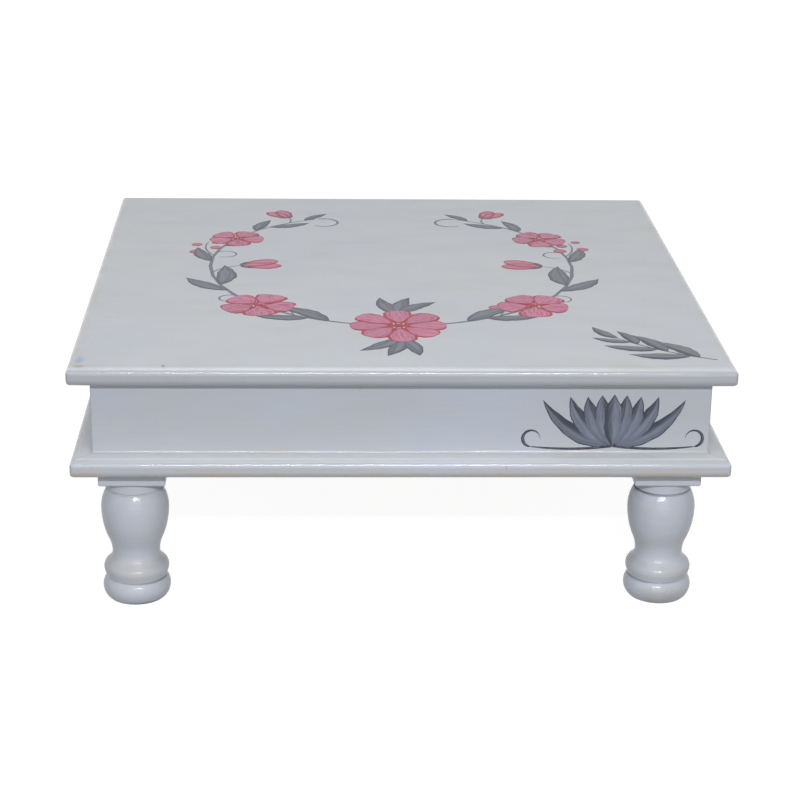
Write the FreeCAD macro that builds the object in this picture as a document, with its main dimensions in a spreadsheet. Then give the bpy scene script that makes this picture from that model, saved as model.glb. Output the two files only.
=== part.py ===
import FreeCAD, Part
import os
import Sketcher

# A bajot: a square low table with a top board, a box of four apron boards, a mitred lower frame and four
# short turned legs. The origin is on the floor under the middle of the top, +Z is up and the front is at -Y.

# Every driving size in millimetres, one cell each.
SIZES = {
    # Top board
    "top_width": 381.0,
    "top_depth": 381.0,
    "top_thickness": 11.5,
    "board_corner_radius": 2.0,
    "upper_edge_round": 4.8,
    "lower_edge_round": 4.2,
    # Box of apron boards, set back under the top
    "top_overhang": 12.2,
    "apron_height": 44.5,
    "apron_thickness": 9.0,
    "apron_corner_round": 1.0,
    # Mitred lower frame, standing out past the box
    "base_overhang": 12.0,
    "base_thickness": 11.5,
    "base_rail_width": 60.0,
    # Blocks inside the corners of the box
    "block_width": 34.0,
    "block_chamfer": 9.0,
    # Battens under the top
    "batten_width": 40.0,
    "batten_thickness": 14.0,
    "batten_spacing": 150.0,
    "batten_chamfer": 2.0,
    # Turned legs, from the floor up
    "foot_rest_radius": 17.0,
    "foot_lower_height": 7.0,
    "foot_radius": 20.1,
    "foot_upper_height": 5.5,
    "ankle_radius": 18.2,
    "groove_width": 1.5,
    "groove_depth": 0.8,
    "band_height": 2.2,
    "ring_lip_radius": 18.8,
    "ring_lower_height": 2.6,
    "ring_radius": 19.3,
    "flare_height": 10.0,
    "waist_radius": 14.1,
    "taper_height": 28.0,
    "belly_radius": 20.0,
    "shoulder_height": 11.9,
    "shoulder_lip_radius": 16.8,
    "neck_radius": 16.5,
    "neck_height": 6.3,
    "head_height": 10.5,
    "head_width": 39.0,
    "head_edge_round": 1.2,
    "leg_inset": 33.9,
    # Round spigot on each leg, glued through the frame into the corner block
    "spigot_radius": 9.0,
    "spigot_length": 32.0,
    "spigot_chamfer": 1.0,
    "spigot_clearance": 0.1,
    # Countersunk slotted wood screws
    "screw_head_radius": 3.8,
    "screw_shank_radius": 1.75,
    "screw_tip_height": 3.0,
    "screw_tip_radius": 0.4,
    "screw_slot_width": 0.9,
    "screw_slot_depth": 1.0,
    "screw_clearance": 0.1,
    "base_screw_length": 32.0,
    "base_screw_spacing": 104.0,
    "top_screw_length": 20.0,
    "top_screw_spacing": 130.0,
}

# Where the leg's two double curves turn over, as shares of their height.
FLARE_TURN_SHARE = 0.55
TAPER_TURN_SHARE = 0.3

# Heights above the floor.
FOOT_TOP = "(Sizes.foot_lower_height + Sizes.foot_upper_height)"
BAND_FOOT = f"({FOOT_TOP} + Sizes.groove_width)"
RING_LIP = f"({BAND_FOOT} + Sizes.band_height)"
RING_MIDDLE = f"({RING_LIP} + Sizes.ring_lower_height)"
WAIST = f"({RING_MIDDLE} + Sizes.flare_height)"
BELLY = f"({WAIST} + Sizes.taper_height)"
SHOULDER_LIP = f"({BELLY} + Sizes.shoulder_height)"
NECK_FOOT = f"({SHOULDER_LIP} + Sizes.groove_width)"
HEAD_FOOT = f"({NECK_FOOT} + Sizes.neck_height)"
LEG_LENGTH = f"({HEAD_FOOT} + Sizes.head_height)"
BASE_TOP = f"({LEG_LENGTH} + Sizes.base_thickness)"
APRON_TOP = f"({BASE_TOP} + Sizes.apron_height)"

# Widths and depths of the box and the frame.
APRON_WIDTH = "(Sizes.top_width - 2 * Sizes.top_overhang)"
APRON_DEPTH = "(Sizes.top_depth - 2 * Sizes.top_overhang)"
INNER_WIDTH = f"({APRON_WIDTH} - 2 * Sizes.apron_thickness)"
INNER_DEPTH = f"({APRON_DEPTH} - 2 * Sizes.apron_thickness)"
BASE_WIDTH = f"({APRON_WIDTH} + 2 * Sizes.base_overhang)"
BASE_DEPTH = f"({APRON_DEPTH} + 2 * Sizes.base_overhang)"
APRON_MIDDLE_INSET = "(Sizes.base_overhang + Sizes.apron_thickness / 2)"
SPIGOT_INSET = "(Sizes.leg_inset - Sizes.base_overhang - Sizes.apron_thickness)"

# Bores and countersinks.
SPIGOT_BORE = "(Sizes.spigot_radius + Sizes.spigot_clearance)"
SCREW_BORE = "(Sizes.screw_shank_radius + Sizes.screw_clearance)"
HEAD_HEIGHT = "(Sizes.screw_head_radius - Sizes.screw_shank_radius)"

SCREW_STEPS = (-1, 0, 1)
QUARTER_TURN = 90.0
FULL_TURN = 360.0

# The sides and corners in order, a quarter turn apart. The front and back sides run along X.
SIDES = ("front", "right", "back", "left")
SIDES_ALONG_X = ("front", "back")
CORNERS = ("front_left", "front_right", "back_right", "back_left")

# The sign that each direction gives a coordinate.
SIGN = {"left": "-1", "right": "1", "front": "-1", "back": "1"}

# The sketcher's own numbers for a curve's points and for a sketch's axes.
START_INDEX, END_INDEX, CENTRE_INDEX = 1, 2, 3
X_AXIS_INDEX, Y_AXIS_INDEX = -1, -2

doc = FreeCAD.newDocument("bajot")
nodes = []


def fill_sheet():
    """Write every driving size in a cell of its own, with its name as the alias."""
    sheet = doc.addObject("Spreadsheet::Sheet", "Sizes")
    for row, (name, value) in enumerate(SIZES.items(), start=1):
        sheet.set(f"A{row}", str(value))
        sheet.setAlias(f"A{row}", name)
    doc.recompute()


def place(item, x="0", y="0", z="0", turns=0):
    """Put an object at the point that three expressions give, after quarter turns about Z."""
    item.Placement.Rotation = FreeCAD.Rotation(FreeCAD.Vector(0, 0, 1), turns * QUARTER_TURN)
    item.setExpression("Placement.Base.x", x)
    item.setExpression("Placement.Base.y", y)
    item.setExpression("Placement.Base.z", z)


def on_side(turns, along, out):
    """The place of a point on one side: so far along it, and so far out from the middle of the table."""
    return ((along, f"-{out}"), (out, along), (f"-{along}", out), (f"-{out}", f"-{along}"))[turns]


def corner_signs(corner):
    """The signs that a corner's name gives its X and Y."""
    side_y, side_x = corner.split("_")
    return SIGN[side_x], SIGN[side_y]


def corner_place(corner, half_width, half_depth):
    """The place of a point near one corner of the table, from its distances out along X and Y."""
    sign_x, sign_y = corner_signs(corner)
    return f"{sign_x} * {half_width}", f"{sign_y} * {half_depth}"


def new_body(name):
    """Start a sub-part."""
    body = doc.addObject("PartDesign::Body", name)
    body.Label = name
    nodes.append(body)
    return body


def new_sketch(body, name, role="XY_Plane", height="0"):
    """Start a sketch on one of the body's own planes, lifted by an expression."""
    sketch = body.newObject("Sketcher::SketchObject", f"{body.Name}_{name}")
    plane = next(item for item in body.Origin.OriginFeatures if item.Role == role)
    sketch.AttachmentSupport = (plane, [""])
    sketch.MapMode = "FlatFace"
    sketch.setExpression("AttachmentOffset.Base.z", height)
    return sketch


def hold(sketch, kind, geometry, position, text):
    """Tie one coordinate of a point in a sketch to an expression."""
    value = sketch.evalExpression(text)
    if value == 0:
        axis = Y_AXIS_INDEX if kind == "DistanceX" else X_AXIS_INDEX
        sketch.addConstraint(Sketcher.Constraint("PointOnObject", geometry, position, axis))
        return
    origin = (X_AXIS_INDEX, START_INDEX)
    index = sketch.addConstraint(Sketcher.Constraint(kind, *origin, geometry, position, value))
    sketch.setExpression(f"Constraints[{index}]", text)


def read_point(sketch, corner):
    """The point that a corner's expressions for X and Y give."""
    x, y = (sketch.evalExpression(text) for text in corner[:2])
    return FreeCAD.Vector(x, y, 0)


def arc_about_level(start, end, level):
    """The arc between two points whose centre is at one height, so that it stands upright at that height."""
    square_start = (start.y - level) ** 2 - (end.y - level) ** 2
    centre_x = (end.x ** 2 - start.x ** 2 - square_start) / (2 * (end.x - start.x))
    centre = FreeCAD.Vector(centre_x, level, 0)
    chord_middle = (start + end) * 0.5
    outward = (chord_middle - centre).normalize()
    return Part.Arc(start, centre + outward * start.distanceToPoint(centre), end)


def draw_outline(sketch, corners):
    """Draw a closed outline through corners given as expressions for X and Y.

    The side after a corner is a straight line, or, where the corner also gives a level, the arc whose centre
    is at that height.
    """
    points = [read_point(sketch, corner) for corner in corners]
    sides = []
    for (_, _, *level), start, end in zip(corners, points, points[1:] + points[:1]):
        if level:
            height = sketch.evalExpression(*level)
            side = sketch.addGeometry(arc_about_level(start, end, height), False)
            hold(sketch, "DistanceY", side, CENTRE_INDEX, *level)
        else:
            side = sketch.addGeometry(Part.LineSegment(start, end), False)
        to_first = sketch.getPoint(side, START_INDEX).distanceToPoint(start)
        to_last = sketch.getPoint(side, END_INDEX).distanceToPoint(start)
        runs_forward = to_first < to_last
        sides.append((side, START_INDEX, END_INDEX) if runs_forward else (side, END_INDEX, START_INDEX))
    for (before, _, last), (side, first, _), corner in zip(sides[-1:] + sides[:-1], sides, corners):
        sketch.addConstraint(Sketcher.Constraint("Coincident", before, last, side, first))
        hold(sketch, "DistanceX", side, first, corner[0])
        hold(sketch, "DistanceY", side, first, corner[1])


def draw_rectangle(sketch, width, depth):
    """Draw a rectangle about the sketch's origin."""
    left, right = f"-{width} / 2", f"{width} / 2"
    near, far = f"-{depth} / 2", f"{depth} / 2"
    draw_outline(sketch, [(left, near), (right, near), (right, far), (left, far)])


def draw_circles(sketch, centres, radius):
    """Draw circles of one radius at centres given as pairs of expressions."""
    size = sketch.evalExpression(radius)
    for centre in centres:
        circle = Part.Circle(read_point(sketch, centre), FreeCAD.Vector(0, 0, 1), size)
        ring = sketch.addGeometry(circle, False)
        hold(sketch, "DistanceX", ring, CENTRE_INDEX, centre[0])
        hold(sketch, "DistanceY", ring, CENTRE_INDEX, centre[1])
        index = sketch.addConstraint(Sketcher.Constraint("Radius", ring, size))
        sketch.setExpression(f"Constraints[{index}]", radius)


def pad(body, sketch, height):
    """Raise a sketch into a solid."""
    feature = body.newObject("PartDesign::Pad", f"{sketch.Name}_pad")
    feature.Profile = sketch
    feature.setExpression("Length", height)
    doc.recompute()


def cut(body, sketch, depth):
    """Cut a sketch up into the body from its lowest plane, and make sure that it takes something away."""
    before = body.Shape.Volume
    feature = body.newObject("PartDesign::Pocket", f"{sketch.Name}_pocket")
    feature.Profile = sketch
    feature.Reversed = True
    feature.setExpression("Length", depth)
    doc.recompute()
    if not body.Shape.Volume < before:
        raise ValueError(f"{feature.Name} cuts nothing")


def drill(body, name, centres, radius, depth):
    """Bore round holes up into the body from its lowest plane."""
    sketch = new_sketch(body, name)
    draw_circles(sketch, centres, radius)
    cut(body, sketch, depth)


def trim_corners(body, corners, depth):
    """Round a board's corners in plan.

    Each corner is given as expressions for X and Y and the signs of the directions that it points in.
    """
    sketch = new_sketch(body, "corners")
    for x, y, sign_x, sign_y in corners:
        inner_x = f"{x} - ({sign_x}) * Sizes.board_corner_radius"
        inner_y = f"{y} - ({sign_y}) * Sizes.board_corner_radius"
        draw_outline(sketch, [(x, y), (inner_x, y, inner_y), (x, inner_y)])
    cut(body, sketch, depth)


def dress(body, kind, name, size, wanted):
    """Round or chamfer the edges of the body that a test picks."""
    base = body.Tip
    edges = enumerate(base.Shape.Edges, start=1)
    picked = [f"Edge{number}" for number, edge in edges if wanted(edge)]
    if not picked:
        raise ValueError(f"{body.Label} has no edge for {name}")
    feature = body.newObject(f"PartDesign::{kind}", f"{body.Name}_{name}")
    feature.Base = (base, picked)
    feature.setExpression("Radius" if kind == "Fillet" else "Size", size)
    doc.recompute()


def near(value, target):
    """Whether two lengths are the same within rounding."""
    return abs(value - target) < 1e-6 * (1 + abs(target))


def is_flat_at(edge, height):
    """Whether an edge lies flat at one height of its body."""
    return near(edge.BoundBox.ZMin, height) and near(edge.BoundBox.ZMax, height)


def is_upright(edge):
    """Whether an edge runs straight up."""
    return near(edge.BoundBox.XLength, 0) and near(edge.BoundBox.YLength, 0)


def is_round(edge):
    """Whether an edge is a whole circle."""
    return len(edge.Vertexes) == 1


def countersink(body):
    """Widen every bore at the body's underside for a screw's head."""
    dress(body, "Chamfer", "countersinks", HEAD_HEIGHT,
          lambda edge: is_flat_at(edge, 0) and is_round(edge))


def screw_places(spacing, across):
    """Centres of a row of bores along X, so far across."""
    return [(f"{step} * {spacing}", across) for step in SCREW_STEPS]


def make_top_board():
    """One board with rounded edges that meet in mitres, and corners trimmed round in plan."""
    body = new_body("top_board")
    outline = new_sketch(body, "outline")
    draw_rectangle(outline, "Sizes.top_width", "Sizes.top_depth")
    pad(body, outline, "Sizes.top_thickness")
    thickness = body.evalExpression("Sizes.top_thickness")
    dress(body, "Fillet", "upper_edge", "Sizes.upper_edge_round", lambda edge: is_flat_at(edge, thickness))
    dress(body, "Fillet", "lower_edge", "Sizes.lower_edge_round", lambda edge: is_flat_at(edge, 0))
    corners = [(*corner_place(corner, "Sizes.top_width / 2", "Sizes.top_depth / 2"), *corner_signs(corner))
               for corner in CORNERS]
    trim_corners(body, corners, "Sizes.top_thickness")
    centres = [(f"{SIGN[side]} * Sizes.batten_spacing / 2", f"{step} * Sizes.top_screw_spacing")
               for side in ("left", "right") for step in SCREW_STEPS]
    depth = "Sizes.top_screw_length - Sizes.batten_thickness + Sizes.screw_clearance"
    drill(body, "screw_bores", centres, SCREW_BORE, depth)
    place(body, z=APRON_TOP)


def make_apron(side, turns):
    """One board of the box. The front and back boards run over the ends of the side boards."""
    body = new_body(f"apron_{side}")
    over_ends = side in SIDES_ALONG_X
    length = APRON_WIDTH if over_ends else INNER_DEPTH
    across = APRON_DEPTH if over_ends else APRON_WIDTH
    outline = new_sketch(body, "outline")
    draw_rectangle(outline, length, "Sizes.apron_thickness")
    pad(body, outline, "Sizes.apron_height")
    if over_ends:
        dress(body, "Fillet", "corners", "Sizes.apron_corner_round",
              lambda edge: is_upright(edge) and edge.BoundBox.Center.y < 0)
    depth = "Sizes.base_screw_length - Sizes.base_thickness + Sizes.screw_clearance"
    drill(body, "screw_bores", screw_places("Sizes.base_screw_spacing", "0"), SCREW_BORE, depth)
    place(body, *on_side(turns, "0", f"({across} - Sizes.apron_thickness) / 2"), BASE_TOP, turns)


def base_size(side):
    """The length of the lower frame along one side, and across it."""
    return (BASE_WIDTH, BASE_DEPTH) if side in SIDES_ALONG_X else (BASE_DEPTH, BASE_WIDTH)


def make_base_rail(side, turns):
    """One rail of the lower frame: mitred ends, outer corners trimmed round, and bores for the legs' spigots.

    Its outer edge lies on X, and its inner edge at +Y.
    """
    body = new_body(f"base_rail_{side}")
    length, across = base_size(side)
    width = "Sizes.base_rail_width"

    def end_x(end, inset):
        return f"{SIGN[end]} * ({length} / 2 - {inset})"

    outline = new_sketch(body, "outline")
    draw_outline(outline, [
        (end_x("left", "0"), "0"),
        (end_x("right", "0"), "0"),
        (end_x("right", width), width),
        (end_x("left", width), width),
    ])
    pad(body, outline, "Sizes.base_thickness")
    thickness = body.evalExpression("Sizes.base_thickness")
    dress(body, "Fillet", "upper_edge", "Sizes.upper_edge_round",
          lambda edge: is_flat_at(edge, thickness) and near(edge.BoundBox.Center.y, 0))
    dress(body, "Fillet", "lower_edge", "Sizes.lower_edge_round",
          lambda edge: is_flat_at(edge, 0) and near(edge.BoundBox.Center.y, 0))
    trim_corners(body, [(end_x(end, "0"), "0", SIGN[end], SIGN["front"]) for end in ("left", "right")],
                 "Sizes.base_thickness")
    drill(body, "screw_bores", screw_places("Sizes.base_screw_spacing", APRON_MIDDLE_INSET), SCREW_BORE,
          "Sizes.base_thickness")
    countersink(body)
    centres = [(end_x(end, "Sizes.leg_inset"), "Sizes.leg_inset") for end in ("left", "right")]
    drill(body, "spigot_bores", centres, SPIGOT_BORE, "Sizes.base_thickness")
    place(body, *on_side(turns, "0", f"{across} / 2"), LEG_LENGTH, turns)


def make_corner_block(corner, turns):
    """A block that fills one corner of the box, with its inner edge cut off and a bore for the spigot."""
    body = new_body(f"corner_block_{corner}")
    width = "Sizes.block_width"
    outline = new_sketch(body, "outline")
    draw_outline(outline, [("0", "0"), (width, "0"), (width, width), ("0", width)])
    pad(body, outline, "Sizes.apron_height")
    size = body.evalExpression(width)
    dress(body, "Chamfer", "inner_edge", "Sizes.block_chamfer",
          lambda edge: is_upright(edge) and near(edge.BoundBox.XMax + edge.BoundBox.YMax, 2 * size))
    depth = "Sizes.spigot_length - Sizes.base_thickness + Sizes.spigot_clearance"
    drill(body, "spigot_bore", [(SPIGOT_INSET, SPIGOT_INSET)], SPIGOT_BORE, depth)
    place(body, *corner_place(corner, f"{INNER_WIDTH} / 2", f"{INNER_DEPTH} / 2"), BASE_TOP, turns)


def make_batten(side):
    """A batten under the top, from the front board to the back board, with countersunk bores."""
    body = new_body(f"top_batten_{side}")
    outline = new_sketch(body, "outline")
    draw_rectangle(outline, INNER_DEPTH, "Sizes.batten_width")
    pad(body, outline, "Sizes.batten_thickness")
    dress(body, "Chamfer", "lower_edges", "Sizes.batten_chamfer",
          lambda edge: is_flat_at(edge, 0) and near(edge.BoundBox.YLength, 0))
    drill(body, "screw_bores", screw_places("Sizes.top_screw_spacing", "0"), SCREW_BORE,
          "Sizes.batten_thickness")
    countersink(body)
    place(body, f"{SIGN[side]} * Sizes.batten_spacing / 2", "0", f"{APRON_TOP} - Sizes.batten_thickness", 1)


def part_way(start, end, share):
    """An expression for the point a share of the way from one value to another."""
    return f"({start} + {share} * ({end} - {start}))"


def draw_leg_profile(sketch):
    """Half of the leg's upright section: foot, groove, band, ring, waist, belly, groove, neck and spigot."""
    flare_turn = (part_way("Sizes.waist_radius", "Sizes.ring_radius", FLARE_TURN_SHARE),
                  part_way(WAIST, RING_MIDDLE, FLARE_TURN_SHARE))
    taper_turn = (part_way("Sizes.waist_radius", "Sizes.belly_radius", TAPER_TURN_SHARE),
                  part_way(WAIST, BELLY, TAPER_TURN_SHARE))
    spigot_top = f"{LEG_LENGTH} + Sizes.spigot_length"
    draw_outline(sketch, [
        ("0", "0"),
        ("Sizes.foot_rest_radius", "0", "Sizes.foot_lower_height"),
        ("Sizes.foot_radius", "Sizes.foot_lower_height", "Sizes.foot_lower_height"),
        ("Sizes.ankle_radius", FOOT_TOP),
        ("Sizes.ankle_radius - Sizes.groove_depth", f"{FOOT_TOP} + Sizes.groove_width / 2"),
        ("Sizes.ankle_radius", BAND_FOOT),
        ("Sizes.ring_lip_radius", RING_LIP, RING_MIDDLE),
        ("Sizes.ring_radius", RING_MIDDLE, RING_MIDDLE),
        (*flare_turn, WAIST),
        ("Sizes.waist_radius", WAIST, WAIST),
        (*taper_turn, BELLY),
        ("Sizes.belly_radius", BELLY, BELLY),
        ("Sizes.shoulder_lip_radius", SHOULDER_LIP),
        ("Sizes.neck_radius - Sizes.groove_depth", f"{SHOULDER_LIP} + Sizes.groove_width / 2"),
        ("Sizes.neck_radius", NECK_FOOT),
        ("Sizes.neck_radius", LEG_LENGTH),
        ("Sizes.spigot_radius", LEG_LENGTH),
        ("Sizes.spigot_radius", f"{spigot_top} - Sizes.spigot_chamfer"),
        ("Sizes.spigot_radius - Sizes.spigot_chamfer", spigot_top),
        ("0", spigot_top),
    ])


def make_leg(corner):
    """A turned leg with a square head, whose spigot passes the frame and ends in the corner block."""
    body = new_body(f"leg_{corner}")
    profile = new_sketch(body, "profile", "XZ_Plane")
    draw_leg_profile(profile)
    turning = body.newObject("PartDesign::Revolution", f"{body.Name}_turning")
    turning.Profile = profile
    turning.ReferenceAxis = (profile, ["V_Axis"])
    turning.Angle = FULL_TURN
    doc.recompute()
    head = new_sketch(body, "head", height=HEAD_FOOT)
    draw_rectangle(head, "Sizes.head_width", "Sizes.head_width")
    pad(body, head, "Sizes.head_height")
    half = body.evalExpression("Sizes.head_width / 2")
    head_foot = body.evalExpression(HEAD_FOOT)
    dress(body, "Fillet", "head_edges", "Sizes.head_edge_round",
          lambda edge: near(max(abs(edge.BoundBox.Center.x), abs(edge.BoundBox.Center.y)), half) and
          (is_upright(edge) or is_flat_at(edge, head_foot)))
    place(body, *corner_place(corner, f"({BASE_WIDTH} / 2 - Sizes.leg_inset)",
                              f"({BASE_DEPTH} / 2 - Sizes.leg_inset)"))


def new_cone(name, foot, first_radius, last_radius, height):
    """A cone about Z between two heights."""
    cone = doc.addObject("Part::Cone", name)
    cone.setExpression("Radius1", first_radius)
    cone.setExpression("Radius2", last_radius)
    cone.setExpression("Height", height)
    cone.setExpression("Placement.Base.z", foot)
    return cone


def make_screw(name, length):
    """A countersunk wood screw that points up, with the face of its slotted head at Z = 0."""
    head = new_cone(f"{name}_head", "0", "Sizes.screw_head_radius", "Sizes.screw_shank_radius", HEAD_HEIGHT)
    shank = doc.addObject("Part::Cylinder", f"{name}_shank")
    shank.setExpression("Radius", "Sizes.screw_shank_radius")
    shank.setExpression("Height", f"{length} - {HEAD_HEIGHT} - Sizes.screw_tip_height")
    shank.setExpression("Placement.Base.z", HEAD_HEIGHT)
    tip = new_cone(f"{name}_tip", f"{length} - Sizes.screw_tip_height", "Sizes.screw_shank_radius",
                   "Sizes.screw_tip_radius", "Sizes.screw_tip_height")
    blank = doc.addObject("Part::MultiFuse", f"{name}_blank")
    blank.Shapes = [head, shank, tip]
    slot = doc.addObject("Part::Box", f"{name}_slot")
    slot.setExpression("Length", "Sizes.screw_head_radius * 2")
    slot.setExpression("Width", "Sizes.screw_slot_width")
    slot.setExpression("Height", "Sizes.screw_slot_depth")
    slot.setExpression("Placement.Base.x", "-Sizes.screw_head_radius")
    slot.setExpression("Placement.Base.y", "-Sizes.screw_slot_width / 2")
    screw = doc.addObject("Part::Cut", name)
    screw.Base = blank
    screw.Tool = slot
    return screw


def group_screws(name, screws):
    """Gather like screws in one sub-part of separate solids."""
    group = doc.addObject("Part::Compound", name)
    group.Label = name
    group.Links = screws
    nodes.append(group)


def make_base_screws():
    """Three screws up through each rail of the frame into the apron board above it."""
    screws = []
    for turns, side in enumerate(SIDES):
        _, across = base_size(side)
        for number, step in enumerate(SCREW_STEPS, start=1):
            screw = make_screw(f"base_screw_{side}_{number}", "Sizes.base_screw_length")
            along = f"({step} * Sizes.base_screw_spacing)"
            place(screw, *on_side(turns, along, f"({across} / 2 - {APRON_MIDDLE_INSET})"), LEG_LENGTH)
            screws.append(screw)
    group_screws("base_screws", screws)


def make_top_screws():
    """Three screws up through each batten into the top."""
    screws = []
    for side in ("left", "right"):
        for number, step in enumerate(SCREW_STEPS, start=1):
            screw = make_screw(f"top_screw_{side}_{number}", "Sizes.top_screw_length")
            place(screw, f"{SIGN[side]} * Sizes.batten_spacing / 2", f"{step} * Sizes.top_screw_spacing",
                  f"{APRON_TOP} - Sizes.batten_thickness")
            screws.append(screw)
    group_screws("top_screws", screws)


def check_model():
    """Stop at any failed object or bad shape."""
    for item in doc.Objects:
        if "Invalid" in item.State or "Error" in item.State:
            raise ValueError(f"{item.Name} failed: {item.State}")
    for node in nodes:
        if node.Shape.isNull() or not node.Shape.isValid() or not node.Shape.Solids:
            raise ValueError(f"{node.Label} has no sound solid")


def build():
    """Make every sub-part and write each to a file of its own."""
    fill_sheet()
    make_top_board()
    for turns, side in enumerate(SIDES):
        make_apron(side, turns)
        make_base_rail(side, turns)
    for turns, corner in enumerate(CORNERS):
        make_corner_block(corner, turns)
        make_leg(corner)
    for side in ("left", "right"):
        make_batten(side)
    make_base_screws()
    make_top_screws()
    doc.recompute()
    check_model()
    os.makedirs("parts", exist_ok=True)
    for node in nodes:
        node.Shape.exportStep(f"parts/{node.Label}.step")
        box = node.Shape.BoundBox
        print(f"{node.Label}: {len(node.Shape.Solids)} solids, volume {node.Shape.Volume:.1f}, "
              f"z {box.ZMin:.2f} to {box.ZMax:.2f}")


build()
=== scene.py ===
import math
from functools import partial

import bpy
import numpy as np
from bpy.props import FloatProperty, FloatVectorProperty, PointerProperty
from mathutils import Matrix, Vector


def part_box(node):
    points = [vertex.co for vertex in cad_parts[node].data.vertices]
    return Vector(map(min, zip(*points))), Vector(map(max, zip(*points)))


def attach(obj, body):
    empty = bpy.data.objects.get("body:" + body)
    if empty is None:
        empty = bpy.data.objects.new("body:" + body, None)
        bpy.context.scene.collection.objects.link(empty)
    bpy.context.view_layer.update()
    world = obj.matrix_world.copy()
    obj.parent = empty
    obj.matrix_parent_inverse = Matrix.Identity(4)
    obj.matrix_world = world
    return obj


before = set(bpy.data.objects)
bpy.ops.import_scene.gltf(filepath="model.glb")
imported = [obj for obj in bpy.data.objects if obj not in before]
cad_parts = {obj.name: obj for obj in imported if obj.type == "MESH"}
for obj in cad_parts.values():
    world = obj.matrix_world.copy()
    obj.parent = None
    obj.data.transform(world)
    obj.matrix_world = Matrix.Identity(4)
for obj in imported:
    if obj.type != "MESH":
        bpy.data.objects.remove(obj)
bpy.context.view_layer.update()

bl_info = {
    "name": "Painted bajot",
    "version": (1, 0, 0),
    "blender": (4, 5, 0),
    "location": "View3D > Sidebar > Bajot",
    "description": "Enamel, bare wood, screws and a brushed garland for a low square table",
    "category": "Object",
}

MM = 0.001
BODY = "root"

# The table's planes, read from its boards and one leg.
TOP_LOW, TOP_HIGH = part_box("top_board")
BOX_LOW, BOX_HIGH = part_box("apron_front")
FRAME_LOW, FRAME_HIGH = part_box("base_rail_front")
LEG_LOW, LEG_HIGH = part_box("leg_front_right")
TOP_EDGE = TOP_HIGH[0]
TOP_FACE = TOP_HIGH[2]
TOP_UNDERSIDE = TOP_LOW[2]
BOX_FRONT = BOX_HIGH[0]
BOX_INSIDE = -BOX_HIGH[1]
LEDGE = FRAME_HIGH[2]
FRAME_EDGE = FRAME_HIGH[0]
FRAME_UNDERSIDE = FRAME_LOW[2]
HEAD_HALF = (LEG_HIGH[0] - LEG_LOW[0]) / 2
LEG_MIDDLE = (LEG_HIGH[0] + LEG_LOW[0]) / 2

SIDES = ("front", "right", "back", "left")
SIDES_ALONG_X = ("front", "back")
CORNERS = ("front_left", "front_right", "back_right", "back_left")


def linear(code):
    """The linear colour of an sRGB hex code."""
    values = [int(code[place:place + 2], 16) / 255 for place in (1, 3, 5)]
    return tuple(v / 12.92 if v <= 0.04045 else ((v + 0.055) / 1.055) ** 2.4 for v in values)


def colour(name, code, description):
    """A colour setting, from a default in sRGB hex."""
    return FloatVectorProperty(name=name, description=description, subtype="COLOR", size=3, min=0.0, max=1.0,
                               default=linear(code))


def length(name, millimetres, description):
    """A length setting, from a default in millimetres."""
    return FloatProperty(name=name, description=description, unit="LENGTH", precision=5, min=0.0,
                         default=millimetres * MM)


def fraction(name, value, description):
    """A setting from 0 to 1."""
    return FloatProperty(name=name, description=description, default=value, min=0.0, max=1.0)


def watts(name, value, description):
    """The power of a lamp."""
    return FloatProperty(name=name, description=description, unit="POWER", default=value, min=0.0)


class BajotEnamel(bpy.types.PropertyGroup):
    """The gloss paint on the boards and the legs."""
    # One enamel in three colours: the top's and the legs' are painted lighter than the box's and the
    # frame's, as painted light.
    body: colour("Enamel", "#B7BBC0", "Colour of the enamel on the box and the frame")
    top: colour("Enamel on the top", "#C5CACF", "Colour of the enamel on the top")
    turned: colour("Enamel on the legs", "#C6CBD2", "Colour of the enamel on the turned legs")
    # Pooled enamel on the ledge, painted lighter than the rest: pooled paint and painted light at once.
    pooled: colour("Pooled enamel", "#D5D8DB", "Colour of the enamel where it pools on the ledge")
    cool: colour("Cool tint", "#BBC4D1", "Colour where the enamel lies thick")
    thin: colour("Thin paint", "#BDB7AC", "Colour where the wood tints thin enamel")
    # Dirt along the mitres and on the bottoms of the feet, and painted shade under the top and in the legs'
    # grooves.
    dirt_and_shade: colour("Dirt", "#77756F", "Colour of what gathers in corners and grooves")
    speck: colour("Specks", "#6E6B66", "Colour of dust caught in the enamel")
    bristle: length("Bristle lines", 0.8, "Distance between the brush's lines")
    bristle_length: length("Bristle run", 38.0, "Length of the brush's lines")
    peel: length("Orange peel", 1.3, "Distance along the grain between waves of the dried gloss")
    peel_across: length("Orange peel across", 4.5, "Distance across the grain between the same waves")
    peel_height: length("Orange peel height", 0.09, "Height of the waves of the dried gloss")
    brush_height: length("Bristle height", 0.022, "Height of the brush's lines")
    roughness: fraction("Roughness", 0.50, "Roughness of the paint under its gloss")
    sheen: fraction("Sheen", 0.05, "Specular level of the paint under its gloss")
    gloss: fraction("Gloss", 0.75, "Share of the clear gloss on top")
    gloss_roughness: fraction("Gloss roughness", 0.12, "Roughness of the clear gloss")


class BajotWood(bpy.types.PropertyGroup):
    """The wood that shows inside the box."""
    early: colour("Early wood", "#C39A6C", "Colour of the pale part of a growth ring")
    late: colour("Late wood", "#9A6E44", "Colour of the dark part of a growth ring")
    pore: colour("Pores", "#6E4B2C", "Colour of the pores")
    ring: length("Growth rings", 5.0, "Distance between growth rings")


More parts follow.
